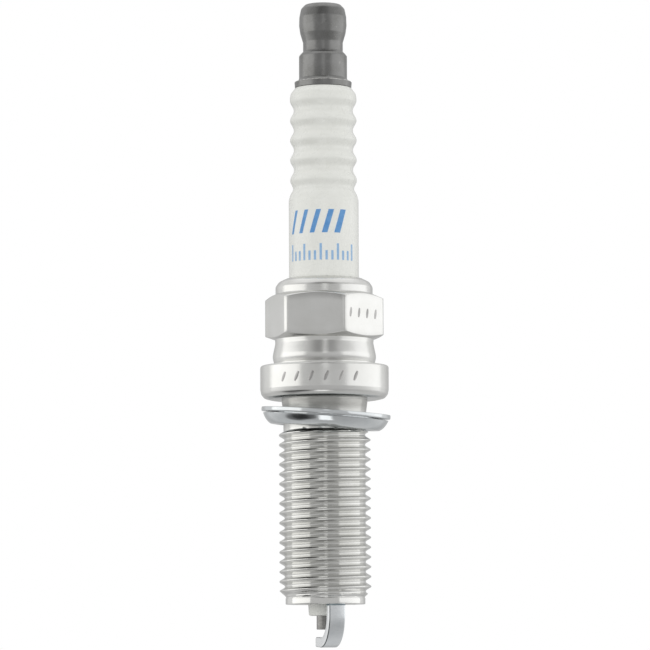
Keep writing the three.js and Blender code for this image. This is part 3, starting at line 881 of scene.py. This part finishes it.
def terminal():
    flange = 3.7
    flange_bottom = INSULATOR_TOP + 0.02
    flange_top = INSULATOR_TOP + TERMINAL_FLANGE_HEIGHT
    post = 3.1
    neck = 2.57
    shank = 1.88
    tip = 1.5
    points = rounded(
        [
            (0, SHANK_END),
            (tip - 0.3, SHANK_END, 0),
            (tip, SHANK_END + 0.5, 0.1),
            (tip, SHANK_TIP_TOP, 0),
            (shank, SHANK_TIP_TOP + 0.5, 0.1),
            (shank, flange_bottom, 0),
            (flange - 0.06, flange_bottom, 0.06),
            (flange, flange_top - 0.08, 0.08),
            (flange - 0.1, flange_top, 0.05),
            (post + 0.25, flange_top, 0.1),
            (post, flange_top + 0.4, 0.3),
            (post, 44.45, 0.1),
            (post - 0.22, 44.75, 0.08),
            (neck, 45.05, 0.2),
            (neck, 46.25, 0.5),
            (neck + 0.36, 47.45, 1.2),
            (post - 0.03, 48.45, 0.9),
            (post - 0.07, 49.6, 0.9),
            (post - 0.28, 50.65, 0.7),
            (2.3, TERMINAL_TOP - 0.1, 0.5),
            (1.2, TERMINAL_TOP, 0.8),
            (0, TERMINAL_TOP),
        ],
        steps=6,
    )
    return turned("terminal_post", subdivided(points, 1.2), 144)


def centre_electrode():
    points = rounded(
        [
            (0, ELECTRODE_TIP),
            (ELECTRODE_RADIUS, ELECTRODE_TIP, 0.07),
            (ELECTRODE_RADIUS, BORE_STEP, 0),
            (ELECTRODE_HEAD_RADIUS, ELECTRODE_HEAD_TOP - 0.65, 0.1),
            (ELECTRODE_HEAD_RADIUS, ELECTRODE_HEAD_TOP - 0.2, 0.1),
            (ELECTRODE_HEAD_RADIUS - 0.2, ELECTRODE_HEAD_TOP, 0.1),
            (CORE_HOLE_RADIUS, ELECTRODE_HEAD_TOP, 0),
            (CORE_HOLE_RADIUS, CORE_HOLE_END, 0),
            (0, CORE_HOLE_END),
        ]
    )
    return turned("centre_electrode_body", subdivided(points, 1.5), 96)


def strap_frames():
    """Places along the strap's middle line: (distance from axis, height, angle of the outer face)."""
    middle = STRAP_OUTER - STRAP_THICKNESS / 2
    centre = STRAP_OUTER - STRAP_BEND
    bend_height = STRAP_LOWEST + STRAP_BEND
    bend = STRAP_BEND - STRAP_THICKNESS / 2
    frames = [(middle, z, 0.0) for z in np.linspace(SHELL_END + 0.03, bend_height, 6)[:-1]]
    for angle in np.linspace(0, -math.pi / 2 - STRAP_RISE, 25):
        frames.append((centre + bend * math.cos(angle), bend_height + bend * math.sin(angle), angle))
    last = frames[-1]
    reach = (last[0] - STRAP_TIP) / math.cos(STRAP_RISE)
    for share in (0.3, 0.6, 0.85, 0.97, 1.0):
        step = reach * share
        inwards, up = step * math.cos(STRAP_RISE), step * math.sin(STRAP_RISE)
        frames.append((last[0] - inwards, last[1] + up, last[2]))
    return frames


def ground_electrode():
    """The bent strap: a flat bar with rounded edges and a sheared tip."""
    half_thickness = STRAP_THICKNESS / 2
    half_width = STRAP_WIDTH / 2
    corner = 0.16
    section = []
    for quarter, (sx, sy) in enumerate(((1, 1), (-1, 1), (-1, -1), (1, -1))):
        centre = (sx * (half_thickness - corner), sy * (half_width - corner))
        for k in range(6):
            angle = math.radians(90 * quarter + 18 * k)
            section.append((centre[0] + corner * math.cos(angle), centre[1] + corner * math.sin(angle)))
    vertices, faces = [], []
    frames = strap_frames()
    count = len(section)
    for i, (distance, height, angle) in enumerate(frames):
        shrink = 0.93 if i == len(frames) - 1 else 1.0
        for u, v in section:
            out = distance + u * shrink * math.cos(angle)
            up = height + u * shrink * math.sin(angle)
            wide = v * (0.97 if i == len(frames) - 1 else 1.0)
            vertices.append((out, wide, up))
    for i in range(len(frames) - 1):
        for k in range(count):
            n = (k + 1) % count
            faces.append((i * count + k, (i + 1) * count + k, (i + 1) * count + n, i * count + n))
    faces.append(tuple(range(count)))
    faces.append(tuple(reversed(range((len(frames) - 1) * count, len(frames) * count))))
    obj = make_object("ground_strap", vertices, faces, 35)
    obj.data.transform(Matrix.Rotation(STRAP_TURN, 4, "Z"))
    return obj


def weld_bead():
    """The flattened flash squeezed out round the strap's root when it is resistance-welded."""
    random.seed(4)
    vertices, faces = [], []
    middle = STRAP_OUTER - STRAP_THICKNESS / 2
    around = 48
    profile = [(0.0, -0.005), (0.10, -0.03), (0.15, -0.1), (0.1, -0.19), (-0.02, -0.25), (-0.12, -0.27)]
    swell = [random.uniform(0.7, 1.15) for _ in range(around)]
    for k in range(around):
        angle = 2 * math.pi * k / around
        c, s = math.cos(angle), math.sin(angle)
        power = 0.45
        u = (STRAP_THICKNESS / 2) * math.copysign(abs(c) ** power, c)
        v = (STRAP_WIDTH / 2) * math.copysign(abs(s) ** power, s)
        size = (swell[k - 1] + swell[k] + swell[(k + 1) % around]) / 3
        for out, up in profile:
            outward = out * size
            limit = PILOT_RADIUS + 0.1 - middle
            x = min(middle + u + outward * c, middle + limit)
            vertices.append((x, v + outward * s, SHELL_END - 0.01 + up * size))
    rows = len(profile)
    for k in range(around):
        n = (k + 1) % around
        for j in range(rows - 1):
            faces.append((k * rows + j, k * rows + j + 1, n * rows + j + 1, n * rows + j))
    faces.append(tuple(k * rows for k in range(around)))
    faces.append(tuple(k * rows + rows - 1 for k in reversed(range(around))))
    obj = make_object("ground_strap_weld", vertices, faces, 50)
    obj.data.transform(Matrix.Rotation(STRAP_TURN, 4, "Z"))
    return obj


# ---- gasket ----


def gasket():
    """Folded ring, made flush with the seat, then turned down about its joint's axis to where it hangs."""
    rim = GASKET_RADIUS
    hole = GASKET_HOLE_RADIUS
    foot = GASKET_FOOT_RADIUS
    bottom = -GASKET_HEIGHT
    sheet = GASKET_SHEET
    fold_top = -sheet - GASKET_SLIT - 0.05
    bend = [(hole, -0.3), (hole, bottom + 0.3, 0.4), (6.5, bottom - 0.03, 0.7), (foot, bottom + 0.02)]
    outer = rounded(bend, 7)[1:-1]
    flank = (foot - 0.05, bottom + 0.02), (foot + 0.62, bottom + 0.35), (rim - 0.24, fold_top - 0.06)
    steps = 9
    for k in range(steps + 1):
        t = k / steps
        weights = ((1 - t) ** 2, 2 * t * (1 - t), t**2)
        outer.append(tuple(sum(w * p[i] for w, p in zip(weights, flank)) for i in (0, 1)))
    fold = arc((rim - 0.38, fold_top - 0.14), 0.13, 10, 150, 5)
    floor_end = (foot - 0.3, bottom + sheet)
    corner = [(hole + sheet, bottom + sheet, 0.15), (hole + sheet, -sheet, 0.1)]
    inner = [(rim - 0.68, fold_top - 0.35), (foot + 0.1, bottom + sheet + 0.35)]
    inner += rounded([floor_end, *corner]) + [(rim - 0.1, -sheet)]
    lip = arc((rim - 0.12, -sheet + 0.12), 0.12, -80, 0, 3) + arc((rim - 0.08, -0.08), 0.08, 0, 90, 4)
    top = [(hole + 0.35, 0.0)] + arc((hole + 0.3, -0.3), 0.3, 95, 178, 5)
    points = outer + fold + inner + lip + top
    obj = turned("gasket_ring_body", subdivided(points, 0.5), 224, 36)
    pivot = Vector(JOINT["pos_m"])
    axis = Vector(JOINT["axis"])
    drop = Matrix.Translation((GASKET_OFFSET * MM, 0, -GASKET_DROP * MM))
    turn = Matrix.Rotation(-GASKET_TILT, 4, axis)
    down = Matrix.Translation(pivot) @ turn @ Matrix.Translation(-pivot)
    obj.data.transform(down @ drop)
    return obj


# ---- the object ----

fit(shell(), "plug", "nickel_plate", "shell")
stamps = fit(stamped_marks(), "plug", "nickel_plate")
stamps.data.materials[0] = plated_steel(
    "stamped_finish", srgb(196, 195, 193), srgb(150, 149, 148), 0.34, 0.2, 0.3
)
fit(insulator(), "plug", "glazed_alumina", "insulator")
marks = fit(printed_marks(), "plug", "glazed_alumina")
marks.data.materials[0] = ink()
fit(terminal(), "plug", "dark_steel", "terminal_stud")
fit(centre_electrode(), "plug", "electrode_alloy", "centre_electrode")
fit(ground_electrode(), "plug", "nickel_alloy", "ground_electrode")
weld = fit(weld_bead(), "plug", "nickel_alloy")
weld.data.materials[0] = satin_metal("weld_finish", srgb(158, 172, 178), srgb(120, 134, 140), 0.3)
fit(gasket(), "gasket_ring", "bright_zinc", "gasket")

INSIDE = {
    "upper_glass_seal": "copper_glass",
    "resistor": "carbon_glass",
    "lower_glass_seal": "copper_glass",
    "centre_electrode_core": "copper",
    "upper_packing_ring": "soft_steel",
    "talc_packing": "talc",
    "lower_packing_ring": "soft_steel",
    "seat_packing": "soft_steel",
}
for node, slot in INSIDE.items():
    dress(frame["nodes"][node], slot)

# ---- camera, lights and floor ----


def camera():
    """Half a metre in front of the plug and a little below its seat, looking slightly up."""
    distance = 500.0
    eye_height = -35.0
    aim_height = 9.6
    view_height = 83.6
    data = bpy.data.cameras.new("camera")
    data.sensor_width = 36
    data.lens = 36 * math.hypot(distance, aim_height - eye_height) / view_height
    data.clip_start, data.clip_end = 0.01, 20
    obj = bpy.data.objects.new("camera", data)
    bpy.context.scene.collection.objects.link(obj)
    shift = 0.1
    aim = Vector((shift, 0, aim_height)) * MM
    eye = Vector((shift, -distance, eye_height)) * MM
    facing = (aim - eye).to_track_quat("-Z", "Y").to_matrix().to_4x4()
    roll = Matrix.Rotation(math.radians(-0.27), 4, "Z")
    obj.matrix_world = Matrix.Translation(eye) @ facing @ roll
    bpy.context.scene.camera = obj


def towards(azimuth, elevation):
    """Unit direction in degrees; azimuth 0 is where the camera is and 90 the right."""
    a, e = math.radians(azimuth), math.radians(elevation)
    return Vector((math.sin(a) * math.cos(e), -math.cos(a) * math.cos(e), math.sin(e)))


def softbox(name, azimuth, elevation, distance, width, height, brightness, colour=(1, 1, 1)):
    """An area light that faces the plug from a direction; lengths in mm."""
    data = bpy.data.lights.new(name, "AREA")
    data.shape = "RECTANGLE"
    data.size, data.size_y = width * MM, height * MM
    data.energy = brightness * math.pi * data.size * data.size_y
    data.color = colour
    obj = bpy.data.objects.new(name, data)
    bpy.context.scene.collection.objects.link(obj)
    out = towards(azimuth, elevation)
    centre = Vector((0, 0, 9.0)) * MM
    obj.location = centre + out * distance * MM
    obj.rotation_mode = "QUATERNION"
    obj.rotation_quaternion = (-out).to_track_quat("-Z", "Y")
    obj.visible_camera = False
    return obj


def world():
    """White to camera rays; to all others a room, greyer in front, straight behind the plug and below.

    It is brighter high up, apart from a dim patch above the camera, and has dark patches low on the left.
    """
    scene_world = bpy.data.worlds.new("studio")
    bpy.context.scene.world = scene_world
    scene_world.use_nodes = True
    tree = scene_world.node_tree
    background = tree.nodes["Background"]
    background.inputs["Color"].default_value = (1, 1, 1, 1)
    direction = tree.nodes.new("ShaderNodeTexCoord")
    parts = tree.nodes.new("ShaderNodeSeparateXYZ")
    tree.links.new(direction.outputs["Generated"], parts.inputs[0])

    def span(value, start, end, low, high):
        node = tree.nodes.new("ShaderNodeMapRange")
        node.interpolation_type = "SMOOTHSTEP"
        tree.links.new(value, node.inputs["Value"])
        settings = (("From Min", start), ("From Max", end), ("To Min", low), ("To Max", high))
        for name, setting in settings:
            node.inputs[name].default_value = setting
        return node.outputs["Result"]

    def combine(operation, first, second):
        node = tree.nodes.new("ShaderNodeMath")
        node.operation = operation
        tree.links.new(first, node.inputs[0])
        tree.links.new(second, node.inputs[1])
        return node.outputs[0]

    def patch(azimuth, elevation, inner, outer, depth):
        """A round patch that darkens by the depth inside one angle and fades out by the other."""
        near = tree.nodes.new("ShaderNodeVectorMath")
        near.operation = "DOT_PRODUCT"
        tree.links.new(direction.outputs["Generated"], near.inputs[0])
        near.inputs[1].default_value = towards(azimuth, elevation)
        edge, heart = math.cos(math.radians(outer)), math.cos(math.radians(inner))
        return span(near.outputs["Value"], edge, heart, 1.0, 1.0 - depth)

    room = span(parts.outputs["Y"], -0.9, 0.5, 0.61, 0.86)
    behind = span(parts.outputs["Y"], 0.65, 0.92, 1.0, 0.68)
    above = span(parts.outputs["Z"], 0.6, 0.9, 1.0, 1.35)
    dim_above = patch(0, 38, 12, 36, 0.52)
    low_down = span(parts.outputs["Z"], -0.6, 0.0, 0.75, 1.0)
    dark_corner = [patch(azimuth, -45, 10, 18, 0.72) for azimuth in (-84, -66, -48)]
    shaded = room
    for factor in (behind, above, dim_above, *dark_corner, low_down):
        shaded = combine("MULTIPLY", shaded, factor)
    path = tree.nodes.new("ShaderNodeLightPath")
    seen = combine("MAXIMUM", path.outputs["Is Camera Ray"], shaded)
    tree.links.new(seen, background.inputs["Strength"])


def floor():
    """A plain pale floor below the plug, kept out of reflections, with a weak glow of its own."""
    level = cad_low.z / MM - 45
    reach = 2500
    cells = 8
    ticks = np.linspace(-reach, reach, cells + 1)
    vertices = [(x, y, level) for y in ticks for x in ticks]
    faces = []
    for row in range(cells):
        for column in range(cells):
            corner = row * (cells + 1) + column
            faces.append((corner, corner + 1, corner + cells + 2, corner + cells + 1))
    obj = make_object("floor", vertices, faces)
    m = Nodes("pale_floor")
    tones = [(0.3, srgb(240, 240, 240)), (0.7, srgb(246, 246, 246))]
    m.set(Base_Color=m.ramp(m.noise(0.01, detail=2), tones))
    m.set(Roughness=0.9, Emission_Color=(1, 1, 1, 1), Emission_Strength=0.3)
    obj.data.materials.append(m.material)
    obj.visible_glossy = obj.visible_diffuse = False


camera()
world()
floor()
softbox("left_softbox", -78, 6, 420, 560, 260, 0.66, (1.0, 0.99, 0.965))
softbox("right_softbox", 80, 6, 420, 700, 260, 0.53)
softbox("camera_strip", 2, 18, 460, 80, 210, 0.6)
softbox("low_strip", -6, -55, 460, 150, 170, 1.0)
fill = softbox("front_fill", 0, 5, 460, 600, 400, 1.05)
fill.visible_glossy = False

bpy.context.scene.view_settings.view_transform = "Standard"
